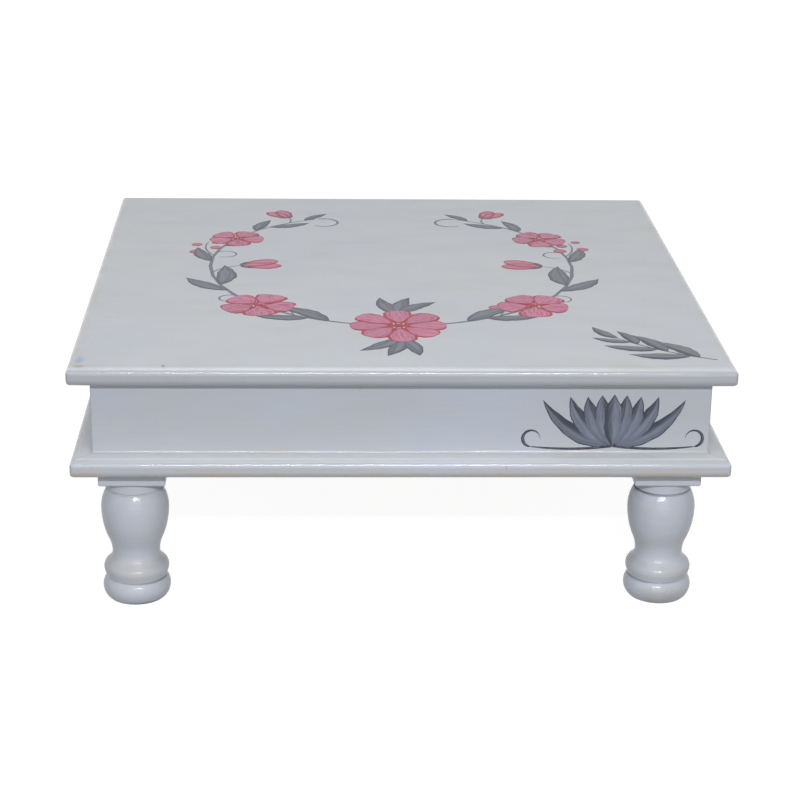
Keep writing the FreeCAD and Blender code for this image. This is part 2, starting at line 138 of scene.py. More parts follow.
class BajotGarland(bpy.types.PropertyGroup):
    """The brushed garland on the top and the lotus on the front board."""
    stem: colour("Stem", "#687080", "Colour of stems and tendrils")
    leaf: colour("Leaf", "#575B6A", "Colour of leaves")
    leaf_rim: colour("Leaf edge", "#353843", "Colour of a leaf's edge")
    leaf_core: colour("Leaf middle", "#7F8391", "Colour along a leaf's middle")
    petal: colour("Petal", "#A50F3F", "Colour of petals")
    petal_rim: colour("Petal edge", "#A80625", "Colour of a petal's edge")
    petal_core: colour("Petal middle", "#D08CAE", "Colour along a petal's middle")
    lotus: colour("Lotus", "#6C7381", "Colour of the lotus on the front board")
    lotus_rim: colour("Lotus edge", "#353943", "Colour of the lotus's dark bristle lines")
    lotus_core: colour("Lotus middle", "#868C99", "Colour along the middle of the lotus's strokes")
    film: length("Film", 0.06, "Thickness of one layer of paint")
    stem_width: length("Stem width", 2.4, "Width of a main stem")
    twig_width: length("Twig width", 1.3, "Width of a stalk, a twig or a tendril")
    berry: length("Berry", 9.0, "Width of the largest berry")
    half_length: length("Garland half", 335.0, "Length of each half of the garland")
    leaf_length: length("Leaf length", 43.0, "Length of a large leaf")
    rosette: length("Rosette radius", 29.0, "Radius of the largest rosette")
    bud: length("Bud length", 26.0, "Length of a large bud")
    lotus_height: length("Lotus height", 32.0, "Height of the lotus on the front board")
    corner_leaf: length("Corner leaf length", 42.0, "Length of the large leaves at the corner of the top")


class BajotFiller(bpy.types.PropertyGroup):
    """The painted filler in the inner corners."""
    box_radius: length("Box filler", 1.7, "Radius of the filler where the box meets the frame and the top")
    head_radius: length("Leg filler", 0.9, "Radius of the filler where a leg's head meets the frame")


class BajotStage(bpy.types.PropertyGroup):
    """Floor and light."""
    floor: colour("Floor", "#9B9B9B", "Colour of the floor, before its own glow")
    bounce: colour("Bounce", "#747474", "Colour of the floor as it throws light back up")
    glow: fraction("Floor glow", 0.90, "Glow of the floor to the camera and in reflections")
    dome: fraction("Dome", 0.25, "Strength of the light from all round")
    strip_light: watts("Strip light", 8.4, "Power of the strip light above the camera")
    softbox: watts("Softbox", 2.2, "Power of the light over the table's front edge")
    side_fill: watts("Side fill", 1.6, "Power of the cool light at the left")
    low_fill: watts("Low fill", 15.0, "Power of the wide light behind the camera")
    back_fill: watts("Back fill", 14.0, "Power of each low light behind the table")
    strip_shift: length("Strip light shift", 80.0, "Distance of the strip light to the camera's right")
    strip_width: length("Strip light width", 600.0, "Width of the strip light above the camera")
    strip_depth: length("Strip light depth", 25.0, "Depth of the strip light above the camera")
    strip_rise: length("Strip light rise", 215.0, "Height of the strip light above the camera")


GROUPS = {
    "bajot_enamel": BajotEnamel,
    "bajot_wood": BajotWood,
    "bajot_garland": BajotGarland,
    "bajot_filler": BajotFiller,
    "bajot_stage": BajotStage,
}


def add_node(tree, kind, inputs=(), output=0, **settings):
    """Add a node, give it its settings, fill or link its inputs, and return one of its outputs.

    The inputs are named in a dict, or stand in the node's own order. A Map Range node's are the value, the
    range that it comes from and the range that it goes to, which is 0 to 1 where it isn't given.
    """
    node = tree.nodes.new(f"ShaderNode{kind}")
    for name, value in settings.items():
        setattr(node, name, value)
    for key, value in (inputs if isinstance(inputs, dict) else dict(enumerate(inputs))).items():
        socket = node.inputs[key]
        if isinstance(value, bpy.types.NodeSocket):
            tree.links.new(value, socket)
        elif socket.type == "RGBA":
            socket.default_value = (*value, 1.0)
        else:
            socket.default_value = value
    return node.outputs[output] if len(node.outputs) else None


# The Mix node's sockets for two colours, and its output and settings to mix or to multiply them.
FIRST, SECOND = 6, 7
COLOURS = {"output": 2, "data_type": "RGBA"}
TINT = {"output": 2, "data_type": "RGBA", "blend_type": "MULTIPLY"}
SMOOTH = {"interpolation_type": "SMOOTHSTEP"}


def empty_tree(holder):
    """Empty the node tree of a material or world, and return add_node for it."""
    holder.use_nodes = True
    holder.node_tree.nodes.clear()
    return partial(add_node, holder.node_tree)


def new_material(name):
    """A new material, and add_node for its tree."""
    material = bpy.data.materials.new(name)
    return material, empty_tree(material)


def new_object(name, data):
    """A new object in the scene."""
    item = bpy.data.objects.new(name, data)
    bpy.context.scene.collection.objects.link(item)
    return item


def grain_spacing(grain, lengthways, across):
    """Distances along X, Y and Z of a pattern that runs along X, Y or Z, or round a turned piece."""
    return {"x": (lengthways, across, across), "y": (across, lengthways, across),
            "z": (across, across, lengthways), "round": (lengthways, lengthways, across)}[grain]


# How far apart in the noise the rows of a table are read, so that no two look alike.
NOISE_STEP = 17.0


def noise_fields(add, position, grain, table):
    """Noise from 0 to 1 for each row of a table: its spacing lengthways and across, and its octaves."""
    fields = {}
    for number, (name, (lengthways, across, octaves)) in enumerate(table.items(), start=1):
        place = add("Mapping", {"Vector": position, "Location": [NOISE_STEP * number] * 3,
                                "Scale": [1 / size for size in grain_spacing(grain, lengthways, across)]})
        fields[name] = add("TexNoise", {"Vector": place, "Scale": 1.0, "Detail": octaves})
    return fields


def near_level(add, value, level, band):
    """1 where a value is at a level, falling smoothly to 0 a band away from it."""
    gap = add("Math", (value, level), operation="SUBTRACT")
    gap = add("Math", (gap,), operation="ABSOLUTE")
    return add("MapRange", (gap, band, 0.2 * band), **SMOOTH)


def spot(add, position, centre, radii, ragged):
    """1 in the middle of an ellipsoid, falling smoothly to 0 at its radii, which noise makes ragged."""
    away = add("VectorMath", (position, centre), operation="SUBTRACT")
    away = add("VectorMath", (away, radii), operation="DIVIDE")
    reach = add("VectorMath", (away,), output="Value", operation="LENGTH")
    reach = add("Math", (ragged, 0.9, reach), operation="MULTIPLY_ADD")
    return add("MapRange", (reach, 1.4, 0.7), **SMOOTH)


# Spacing lengthways, spacing across and octaves of the noise in wood.
WOOD_NOISE = {
    "wander": (220 * MM, 14 * MM, 3.0),
    "pores": (9 * MM, 0.5 * MM, 1.0),
    "saw": (1.6 * MM, 40 * MM, 1.0),
}
# The rings run about minus this point, far outside each board, and count lengths along it so much less.
PITH = (0.11, 0.13, -0.16)
RING_SLANT = 0.02


def wood_look(add, position, grain):
    """The colour and the relief of flat-sawn wood: wandering rings about a far pith, pores and saw marks."""
    wood = bpy.context.scene.bajot_wood
    fields = noise_fields(add, position, grain, WOOD_NOISE)
    away = add("VectorMath", (position, PITH), operation="ADD")
    away = add("VectorMath", (away, grain_spacing(grain, RING_SLANT, 1.0)), operation="MULTIPLY")
    radius = add("VectorMath", (away,), output="Value", operation="LENGTH")
    rings = add("Math", (radius, wood.ring), operation="DIVIDE")
    rings = add("Math", (fields["wander"], 2.6, rings), operation="MULTIPLY_ADD")
    wave = add("Math", (rings,), operation="FRACT")
    late = add("MapRange", (wave, 0.35, 1.0), **SMOOTH)
    pores = add("MapRange", (fields["pores"], 0.6, 0.75, 0.0, 0.6), **SMOOTH)
    tone = wood.early
    for cover, tint in ((late, wood.late), (pores, wood.pore)):
        tone = add("Mix", {"Factor": cover, FIRST: tone, SECOND: tint}, **COLOURS)
    relief = add("Math", (pores, -1.5, fields["saw"]), operation="MULTIPLY_ADD")
    return tone, relief


def make_bare_wood(name, grain):
    """Mango wood as it comes from the saw: matt and dry, with pores and fine saw marks."""
    material, add = new_material(name)
    position = add("TexCoord", output="Object")
    tone, relief = wood_look(add, position, grain)
    bump = add("Bump", {"Height": relief, "Distance": 0.05 * MM})
    surface = add("BsdfPrincipled", {"Base Color": tone, "Roughness": 0.72, "IOR": 1.45, "Normal": bump})
    add("OutputMaterial", (surface,))
    return material


def make_screw_steel():
    """Zinc-plated steel: a cool metal with fine scratches and a dull bloom."""
    material, add = new_material("zinc_plated_steel")
    position = add("TexCoord", output="Object")
    fields = noise_fields(add, position, "x", {"scratches": (6 * MM, 0.15 * MM, 2.0),
                                               "bloom": (2 * MM, 2 * MM, 3.0)})
    zinc, dull_zinc = linear("#C6C8CA"), linear("#857F70")
    tone = add("Mix", {"Factor": fields["bloom"], FIRST: zinc, SECOND: dull_zinc}, **COLOURS)
    bump = add("Bump", {"Height": fields["scratches"], "Distance": 0.02 * MM})
    dull = add("MapRange", (fields["bloom"], 0.0, 1.0, 0.22, 0.55))
    surface = add("BsdfPrincipled", {"Base Color": tone, "Metallic": 1.0, "Roughness": dull, "Normal": bump})
    add("OutputMaterial", (surface,))
    return material


# The cells that dust is strewn in, and how far bare wood reaches past the planes that bound it.
DUST_CELL = 9 * MM
SLACK = 0.4 * MM


def enamel_noise(enamel):
    """Spacing lengthways, spacing across and octaves of the noise in enamel."""
    return {
        "bristles": (enamel.bristle_length, enamel.bristle, 3.0),
        "peel": (enamel.peel, enamel.peel_across, 0.0),
        "swell": (14 * MM, 9 * MM, 1.0),
        "clouds": (90 * MM, 60 * MM, 2.0),
        "patches": (40 * MM, 16 * MM, 4.0),
        "ragged": (0.8 * MM, 0.8 * MM, 1.0),
    }


def make_enamel(name, grain, body, bands=(), marks=(), dents=(), thin=0.30, polish=1.0, bare=False,
                mitred=False):
    """Alkyd gloss enamel, brushed by hand over wood.

    It gives the eye a pale blue-grey whose glints break up on orange peel, with long bristle lines, specks
    of dust, a beige tone where the coat is thin, and bands that add dirt, painted shade and painted light.
    A band is (what it is measured by, its middle, its width, its strength, its colour, the noise that breaks
    it up), a mark is (its centre, its radii, its colour, its strength), and a dent is (its centre, its
    radii, its depth). With less polish the gloss is weaker and its glints wider. A bare piece's wood shows
    inside the box, with splashes of paint.
    """
    enamel = bpy.context.scene.bajot_enamel
    material, add = new_material(name)
    position = add("TexCoord", output="Object")
    axes = add("SeparateXYZ", (position,)).node.outputs
    out_x = add("Math", (axes["X"],), operation="ABSOLUTE")
    out_y = add("Math", (axes["Y"],), operation="ABSOLUTE")
    measures = {
        "height": axes["Z"],
        "reach": add("Math", (out_x, out_y), operation="MAXIMUM"),
        "mitre": add("Math", (out_x, out_y), operation="SUBTRACT"),
    }
    fields = noise_fields(add, position, grain, enamel_noise(enamel))
    fields["even"] = 1.0

    drift = add("MapRange", (fields["clouds"], 0.35, 0.75, 0.0, 0.5), **SMOOTH)
    tone = add("Mix", {"Factor": drift, FIRST: body, SECOND: enamel.cool}, **COLOURS)
    streak = add("MapRange", (fields["bristles"], 0.2, 0.8, 0.965, 1.03))
    tone = add("Mix", {"Factor": 1.0, FIRST: tone, SECOND: streak}, **TINT)

    # What lies over that tone, from the lowest up: its cover and its colour.
    worn = add("MapRange", (fields["patches"], 0.50, 0.78, 0.0, thin), **SMOOTH)
    layers = [(worn, enamel.thin)]
    for measure, middle, width, strength, tint, breaks in bands:
        band = near_level(add, measures[measure], middle, width)
        broken = add("MapRange", (fields[breaks], 0.36, 0.60, 0.0, strength), **SMOOTH)
        layers.append((add("Math", (band, broken), operation="MULTIPLY"), tint))
    for centre, radii, code, strength in marks:
        blot = spot(add, position, centre, radii, fields["ragged"])
        layers.append((add("Math", (blot, strength), operation="MULTIPLY"), linear(code)))

    # Dust: in each cell a speck about 0.5 mm across, of which three in ten are kept.
    cells = add("Mapping", {"Vector": position, "Scale": [1 / DUST_CELL] * 3})
    cell = add("TexVoronoi", {"Vector": cells, "Scale": 1.0}).node.outputs
    dust = add("MapRange", (cell["Distance"], 0.042, 0.015), **SMOOTH)
    chance = add("SeparateColor", (cell["Color"],))
    kept = add("Math", (chance, 0.3), operation="LESS_THAN")
    dust = add("Math", (dust, kept), operation="MULTIPLY")
    layers.append((add("Math", (dust, 0.65), operation="MULTIPLY"), enamel.speck))

    # What raises or lowers the gloss, and by how much beside its orange peel.
    rises = [(fields["swell"], 1.6), (dust, 0.8)]
    for centre, radii, depth in dents:
        rises.append((spot(add, position, centre, radii, fields["ragged"]), -depth))
    if mitred:
        rises.append((near_level(add, measures["mitre"], 0.0, 0.4 * MM), -1.2))
    rough = add("MapRange", (fields["patches"], 0.3, 0.75, 0.85 * enamel.roughness, 1.2 * enamel.roughness))

    if bare:
        inside = add("Math", (measures["reach"], BOX_INSIDE + SLACK), operation="LESS_THAN")
        for bound, operation in ((LEDGE - SLACK, "GREATER_THAN"), (TOP_UNDERSIDE + SLACK, "LESS_THAN")):
            within = add("Math", (axes["Z"], bound), operation=operation)
            inside = add("Math", (inside, within), operation="MULTIPLY")
        splashes = add("MapRange", (fields["patches"], 0.62, 0.57), **SMOOTH)
        inside = add("Math", (inside, splashes), operation="MULTIPLY")
        wood_tone, wood_relief = wood_look(add, position, grain)
        layers.append((inside, wood_tone))
        rises.append((add("Math", (wood_relief, inside), operation="MULTIPLY"), 0.6))
        rough = add("Mix", {"Factor": inside, "A": rough, "B": 0.7})

    for cover, tint in layers:
        tone = add("Mix", {"Factor": cover, FIRST: tone, SECOND: tint}, **COLOURS)
    level = fields["peel"]
    for height, weight in rises:
        level = add("Math", (height, weight, level), operation="MULTIPLY_ADD")
    brushed = add("Math", (fields["bristles"], 0.8, level), operation="MULTIPLY_ADD")
    soft = add("Bump", {"Height": brushed, "Distance": enamel.brush_height})
    crisp = add("Bump", {"Height": level, "Distance": enamel.peel_height})
    surface = add("BsdfPrincipled", {
        "Base Color": tone, "Roughness": rough, "IOR": 1.5, "Specular IOR Level": enamel.sheen,
        "Normal": soft, "Coat Normal": crisp, "Coat Weight": polish * enamel.gloss,
        "Coat Roughness": enamel.gloss_roughness / polish})
    add("OutputMaterial", (surface,))
    return material


def make_brushed_paint(name, body, rim, core, rim_width, core_depth, dryness, loaded=0.0):
    """Artist's enamel laid on with a soft brush.

    It gives the eye strokes that are darker where the paint pools at their rims and paler along their
    middles, with bristle lines along them that open up towards the dry end. A loaded brush has dark paint
    on one side.
    """
    enamel = bpy.context.scene.bajot_enamel
    material, add = new_material(name)
    stroke = add("UVMap", uv_map="stroke")
    along = add("SeparateXYZ", (stroke,)).node.outputs
    chance = add("Attribute", attribute_name="tone", output="Fac")
    edge = add("Attribute", attribute_name="edge", output="Fac")
    position = add("TexCoord", output="Object")
    fields = noise_fields(add, position, "x", {"peel": (enamel.peel, enamel.peel, 2.0),
                                               "wobble": (3 * MM, 3 * MM, 2.0)})
    # Bristle lines: noise stretched over half the stroke's length, with about ten lines across it.
    place = add("Mapping", {"Vector": stroke, "Scale": (2.2, 22.0, 1.0)})
    seed = add("Math", (chance, 40.0), operation="MULTIPLY")
    bristles = add("TexNoise", {"Vector": place, "W": seed, "Scale": 1.0, "Detail": 3.0, "Roughness": 0.6},
                   noise_dimensions="4D")

    reach = add("MapRange", (fields["wobble"], 0.3, 0.7, 0.55 * rim_width, 1.45 * rim_width))
    pooled = add("Math", (edge, reach), operation="DIVIDE")
    pooled = add("MapRange", (pooled, 1.35, 0.55), **SMOOTH)
    inner = add("MapRange", (edge, 0.55 * core_depth, 1.2 * core_depth), **SMOOTH)
    lively = add("MapRange", (bristles, 0.36, 0.6, 0.2), **SMOOTH)
    inner = add("Math", (inner, lively), operation="MULTIPLY")
    hair = add("MapRange", (bristles, 0.5, 0.72, 0.0, 0.6), **SMOOTH)
    across = add("Math", (bristles, 0.9, along["Y"]), operation="MULTIPLY_ADD")
    side = add("MapRange", (across, 0.85, 1.2, 0.0, loaded), **SMOOTH)
    tone = body
    for cover, tint in ((inner, core), (hair, rim), (side, rim), (pooled, rim)):
        tone = add("Mix", {"Factor": cover, FIRST: tone, SECOND: tint}, **COLOURS)
    depth = add("MapRange", (chance, 0.0, 1.0, 0.9, 1.06))
    tone = add("Mix", {"Factor": 1.0, FIRST: tone, SECOND: depth}, **TINT)
    dry = add("MapRange", (along["X"], 0.6, 1.0, 0.0, dryness))
    gaps = add("MapRange", (bristles, 0.47, 0.37), **SMOOTH)
    dry = add("Math", (dry, gaps), operation="MULTIPLY")
    tone = add("Mix", {"Factor": dry, FIRST: tone, SECOND: enamel.body}, **COLOURS)

    level = add("Math", (bristles, 0.7, fields["peel"]), operation="MULTIPLY_ADD")
    bump = add("Bump", {"Height": level, "Distance": enamel.brush_height})
    surface = add("BsdfPrincipled", {
        "Base Color": tone, "Roughness": 0.45, "IOR": 1.48, "Specular IOR Level": enamel.sheen,
        "Normal": bump, "Coat Weight": 0.6 * enamel.gloss, "Coat Roughness": 2 * enamel.gloss_roughness})
    add("OutputMaterial", (surface,))
    return material


def give_material(node, material):
    """Put a material in every slot of a CAD node."""
    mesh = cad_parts[node].data
    if not len(mesh.materials):
        mesh.materials.append(material)
    for slot in range(len(mesh.materials)):
        mesh.materials[slot] = material


def add_piece(name, mesh, crease, material):
    """Show a mesh as a piece that rides on the table, smooth but for edges over a crease in degrees."""
    mesh.polygons.foreach_set("use_smooth", np.ones(len(mesh.polygons), dtype=bool))
    mesh.set_sharp_from_angle(angle=math.radians(crease))
    mesh.materials.append(material)
    piece = new_object(name, mesh)
    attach(piece, BODY)


# The top and the front board as sheets to paint on: an origin, two axes and the outward normal.
TOP_SHEET = np.array([(0, 0, TOP_FACE), (1, 0, 0), (0, 1, 0), (0, 0, 1)])
FRONT_SHEET = np.array([(0, -BOX_FRONT, LEDGE), (1, 0, 0), (0, 0, 1), (0, -1, 0)])

# Each stroke is a grid of so many places along it and so many across it, sunk so far into the board, with so
# much of a film from layer to layer, and with so many waves of its width along it.
PLACES_ALONG = 25
PLACES_ACROSS = 9
SINK = 0.04 * MM
LAYER_SHARE = 0.35
WIDTH_WAVES = (1.3, 2.7, 5.1)

# Shapes of strokes: the powers with which the width rises from the start and falls to the end.
LEAF = (0.75, 1.0)
PETAL = (0.85, 0.4)
BUD = (0.5, 0.8)
ROUND = (0.5, 0.5)
STEM = (0.12, 0.3)
COMMA = (0.4, 1.2)


def draw_line(start, heading, reach, turn=0.0, swing=0.0):
    """A line on a sheet: its points, their shares u of its length, and its heading at each.

    The heading is heading + turn u + swing sin(2 pi u), and the points are its sum over u, whose steps are
    finer at both ends: u = (1 - cos(pi t)) / 2.
    """
    u = (1 - np.cos(np.pi * np.linspace(0, 1, PLACES_ALONG))) / 2
    angle = heading + turn * u + swing * np.sin(2 * np.pi * u)
    middle = (angle[1:] + angle[:-1]) / 2
    steps = reach * np.diff(u)[:, None] * np.stack([np.cos(middle), np.sin(middle)], axis=1)
    points = np.vstack([np.zeros((1, 2)), np.cumsum(steps, axis=0)]) + np.asarray(start)
    return points, u, angle


def point_on(line, share):
    """Where a line is at one share of its length, and its heading there."""
    points, u, angle = line
    place = np.array([np.interp(share, u, points[:, 0]), np.interp(share, u, points[:, 1])])
    return place, float(np.interp(share, u, angle))


class Strokes:
    """Brush strokes gathered for one mesh."""

    def __init__(self, sheet, film, seed):
        self.sheet = sheet
        self.film = film
        self.draw = np.random.default_rng(seed)
        self.points, self.faces, self.places, self.tones, self.edges = [], [], [], [], []
        self.count = 0

    def on_sheet(self, flat, height):
        """Points on the sheet, and so far above it, in the table's own frame."""
        origin, first, second, normal = self.sheet
        return origin + flat[..., :1] * first + flat[..., 1:] * second + height[..., None] * normal

    def add(self, line, width, shape, layer=0, wobble=0.05, flip=1):
        """Lay one stroke along a line, as a closed shell.

        Its half width is w(u) = W/2 (u / p)^rise ((1 - u) / (1 - p))^fall with p = rise / (rise + fall),
        times a slow random wobble. Its crown is film sqrt(1 - v^2) high across it, and its flat back is sunk
        a little into the board. The map across it runs from right to left, or back with flip -1.
        """
        points, u, angle = line
        rise, fall = shape
        peak = rise / (rise + fall)
        half = 0.5 * width * (u / peak) ** rise * ((1 - u) / (1 - peak)) ** fall
        for turns, phase in zip(WIDTH_WAVES, self.draw.uniform(0, 2 * np.pi, 3)):
            half = half * (1 + 0.5 * wobble * np.sin(2 * np.pi * u * turns + phase))
        crown_v = np.cos(np.linspace(0, np.pi, PLACES_ACROSS))
        v = np.concatenate([crown_v, [-0.97, 0.97]])
        height = self.film * (np.sqrt(np.clip(1 - crown_v ** 2, 0, 1)) + LAYER_SHARE * layer)
        height[[0, -1]] = -0.3 * SINK
        height = np.concatenate([height, [-SINK, -SINK]])
        side = np.stack([-np.sin(angle), np.cos(angle)], axis=1)[1:-1, None, :]
        flat = points[1:-1, None, :] + half[1:-1, None, None] * v[None, :, None] * side
        rows, around = flat.shape[:2]
        ring = self.on_sheet(flat, np.broadcast_to(height, (rows, around)))
        tips = self.on_sheet(points[[0, -1]], np.full(2, -SINK))

        base = self.count + np.arange(rows * around).reshape(rows, around)
        beside = np.roll(base, -1, axis=1)
        start, end = self.count + rows * around, self.count + rows * around + 1
        quads = np.stack([base[:-1], beside[:-1], beside[1:], base[1:]], axis=-1).reshape(-1, 4)
        fans = [np.stack([np.full(around, start), beside[0], base[0]], axis=-1),
                np.stack([np.full(around, end), base[-1], beside[-1]], axis=-1)]
        self.faces += quads.tolist() + fans[0].tolist() + fans[1].tolist()
        self.points += [ring.reshape(-1, 3), tips]
        across = np.broadcast_to((1 + flip * v) / 2, (rows, around))
        along = np.broadcast_to(u[1:-1, None], (rows, around))
        self.places += [np.stack([along, across], axis=-1).reshape(-1, 2), np.array([[0, 0.5], [1, 0.5]])]
        self.edges += [(half[1:-1, None] * (1 - np.abs(v))).ravel(), np.zeros(2)]
        self.tones.append(np.full(rows * around + 2, self.draw.uniform()))
        self.count += rows * around + 2

    def finish(self, name, material):
        """Make the piece, with its map along and across each stroke, its edge distance and its tone."""
        mesh = bpy.data.meshes.new(name)
        mesh.from_pydata(np.vstack(self.points), [], self.faces)
        corners = np.zeros(len(mesh.loops), dtype=np.int32)
        mesh.loops.foreach_get("vertex_index", corners)
        layer = mesh.uv_layers.new(name="stroke")
        layer.data.foreach_set("uv", np.vstack(self.places)[corners].astype(np.float32).ravel())
        for title, values in (("edge", self.edges), ("tone", self.tones)):
            attribute = mesh.attributes.new(title, "FLOAT", "POINT")
            attribute.data.foreach_set("value", np.concatenate(values).astype(np.float32))
        add_piece(name, mesh, 40, material)


def heading_to(angle):
    """The direction of a heading."""
    return np.array([math.cos(angle), math.sin(angle)])


# As shares of a rosette's radius: where its petals and stamens start, their length and width, and its dot.
PETAL_FOOT, PETAL_REACH, PETAL_WIDTH = 0.16, 0.86, 1.66
STAMEN_FOOT, STAMEN_REACH, STAMEN_WIDTH = 0.10, 0.36, 0.05
HEART_DOT = 0.24


def paint_rosette(petals, hearts, centre, radius, count, first, layer):
    """A rosette of round petals, each over its neighbours, with short stamens and a dot in its heart."""
    petal_width = PETAL_WIDTH * radius * math.sin(math.pi / count)
    for number in range(count):
        heading = first + 2 * math.pi * number / count + petals.draw.uniform(-0.07, 0.07)
        reach = PETAL_REACH * radius * petals.draw.uniform(0.94, 1.06)
        foot = centre + PETAL_FOOT * radius * heading_to(heading)
        petals.add(draw_line(foot, heading, reach, turn=0.12), petal_width, PETAL, layer + number % 2)
    for number in range(count):
        heading = first + 2 * math.pi * (number + 0.5) / count
        foot = centre + STAMEN_FOOT * radius * heading_to(heading)
        hearts.add(draw_line(foot, heading, STAMEN_REACH * radius), STAMEN_WIDTH * radius, COMMA, layer + 3)
    dot = HEART_DOT * radius
    hearts.add(draw_line(centre - np.array([dot / 2, 0]), 0.0, dot), dot, ROUND, layer + 4)


def paint_leaf(leaves, line, share, side, reach, angle, layer=1):
    """A lens leaf that leaves a stem at one share of it, to one side, drawn as two halves about a midrib."""
    base, heading = point_on(line, share)
    for half in (-1, 1):
        blade = draw_line(base, heading + side * angle + 0.13 * half, reach, turn=-0.5 * side - 0.26 * half)
        leaves.add(blade, 0.24 * reach, LEAF, layer + (half > 0), wobble=0.10)


def paint_bud(art, buds, leaves, stems, line, share, side, stalk, size):
    """A heart-shaped bud of two lobes and a middle petal, on a curved stalk, with two small sepals."""
    base, heading = point_on(line, share)
    stalk_line = draw_line(base, heading + side * 0.5, stalk, turn=side * 1.0)
    stems.add(stalk_line, art.twig_width, STEM)
    tip, aim = point_on(stalk_line, 1.0)
    for lobe in (-1, 1):
        buds.add(draw_line(tip, aim + lobe * 0.62, size, turn=-lobe * 0.95), 0.46 * size, PETAL, 1)
    buds.add(draw_line(tip, aim, 0.86 * size), 0.34 * size, BUD, 3)
    for sepal in (-1, 1):
        leaves.add(draw_line(tip, aim + sepal * 1.35, 0.42 * size, turn=-sepal * 1.1), 0.14 * size, COMMA, 4)


def paint_sprig(art, berries, stems, line, share, side, reach, count):
    """A sprig of berries on both sides of a twig, which shrink towards its tip."""
    base, heading = point_on(line, share)
    twig = draw_line(base, heading + side * 0.75, reach, turn=-side * 0.9)
    stems.add(twig, art.twig_width, STEM)
    for number in range(count):
        place, aim = point_on(twig, 0.35 + 0.65 * number / (count - 1))
        size = (1 - 0.09 * number) * art.berry
        offset = (-1) ** number * 0.85 * size * heading_to(aim + math.pi / 2)
        berries.add(draw_line(place + offset - np.array([size / 2, 0]), 0.0, size), size, ROUND, 1)


def paint_curl(art, stems, line, share, side, reach, turn):
    """A tendril that leaves a stem and winds up."""
    base, heading = point_on(line, share)
    stems.add(draw_line(base, heading + side * 0.35, reach, turn=side * turn), art.twig_width, STEM)


class BAJOT_OT_enamel(bpy.types.Operator):
    """Paint the boards and the legs with brushed enamel"""
    bl_idname = "bajot.enamel"
    bl_label = "Enamel"

    def execute(self, context):
        self.paint_top(context.scene.bajot_enamel)
        self.paint_box_and_frame(context.scene.bajot_enamel)
        self.paint_legs(context.scene.bajot_enamel)
        return {"FINISHED"}

    def paint_top(self, enamel):
        """The top, with a few marks from use near its front."""
        front = -TOP_EDGE
        edge_middle = (TOP_FACE + TOP_UNDERSIDE) / 2
        smear = ((-183.5 * MM, front + 14 * MM, TOP_FACE), (4 * MM, 9 * MM, 3 * MM), "#8FA9CC", 0.75)
        drip = ((-135.8 * MM, front + 4.2 * MM, TOP_FACE), (1.2 * MM, 1.9 * MM, 2 * MM), "#8C7F52", 0.9)
        varnish = ((-183 * MM, front + 4 * MM, TOP_FACE), (5 * MM, 2.2 * MM, 3 * MM), "#A8A081", 0.7)
        rub = ((139 * MM, front, edge_middle - 2 * MM), (5 * MM, 3 * MM, 1.2 * MM), "#B8B18B", 0.6)
        dents = [((178 * MM, front, edge_middle + 2.4 * MM), (5.5 * MM, 4 * MM, 0.8 * MM), 5.0),
                 ((182 * MM, front, edge_middle + 0.6 * MM), (2.6 * MM, 4 * MM, 0.9 * MM), 3.5)]
        # Thin paint near the top's edges, and a grey band on its rounded outer edge that is painted shade.
        bands = [("reach", TOP_EDGE - 4 * MM, 4 * MM, 0.3, enamel.thin, "patches"),
                 ("reach", TOP_EDGE, 1.8 * MM, 0.7, linear("#A1A2A4"), "even")]
        top = make_enamel("gloss_enamel_top", "x", enamel.top, bands, [smear, drip, varnish, rub], dents,
                          thin=0.28, bare=True)
        give_material("top_board", top)

    def paint_box_and_frame(self, enamel):
        """The box and the frame, with pooled paint and painted light on the ledge, a painted shadow under
        the top, dirty mitres and a pink splash.
        """
        splash = ((59.7 * MM, -FRAME_EDGE, 94.2 * MM), (1.0 * MM, 2 * MM, 2.0 * MM), "#B98797", 0.6)
        # Thin paint above the ledge, and a dark band under the top that is a painted shadow.
        box_bands = [("height", LEDGE + 1.5 * MM, 3 * MM, 0.25, enamel.thin, "patches"),
                     ("height", TOP_UNDERSIDE, 1.2 * MM, 0.5, enamel.dirt_and_shade, "patches")]
        # The first rail band paints the ledge lighter, as pooled paint and painted light.
        rail_bands = [("height", LEDGE, 0.9 * MM, 1.0, enamel.pooled, "even"),
                      ("height", FRAME_UNDERSIDE + 3 * MM, 4 * MM, 0.8, enamel.thin, "patches"),
                      ("mitre", 0.0, 0.5 * MM, 0.7, enamel.dirt_and_shade, "bristles")]
        for side in SIDES:
            grain = "x" if side in SIDES_ALONG_X else "y"
            marks = [splash] if side == "front" else []
            box = make_enamel(f"gloss_enamel_box_{side}", grain, enamel.body, box_bands, bare=True)
            rail = make_enamel(f"gloss_enamel_frame_{side}", grain, enamel.body, rail_bands, marks,
                               thin=0.34, bare=True, mitred=True)
            give_material(f"apron_{side}", box)
            give_material(f"base_rail_{side}", rail)

    def paint_legs(self, enamel):
        """The turned legs, with painted shade in their grooves, dirty soles and a darker patch on one foot.
        """
        foot_groove, neck_groove, ring = 13.25 * MM, 69.45 * MM, 22 * MM
        # A darker, warmer grey patch on the front of the front right foot.
        darker_foot_patch = ((LEG_MIDDLE, -LEG_MIDDLE - 17 * MM, 5 * MM), (22 * MM, 14 * MM, 9 * MM), "#ABA8A4", 0.6)
        # Thin paint about the ring, painted shade in the foot and neck grooves, and dirt on the bottoms of
        # the feet.
        bands = [("height", ring, 7 * MM, 0.3, enamel.thin, "patches"),
                 ("height", foot_groove, 1.0 * MM, 0.9, enamel.dirt_and_shade, "clouds"),
                 ("height", neck_groove, 1.0 * MM, 0.9, enamel.dirt_and_shade, "clouds"),
                 ("height", 0.0, 3 * MM, 0.7, enamel.dirt_and_shade, "patches")]
        leg = make_enamel("gloss_enamel_turned", "round", enamel.turned, bands, [darker_foot_patch], thin=0.25,
                          polish=0.7)
        for corner in CORNERS:
            give_material(f"leg_{corner}", leg)


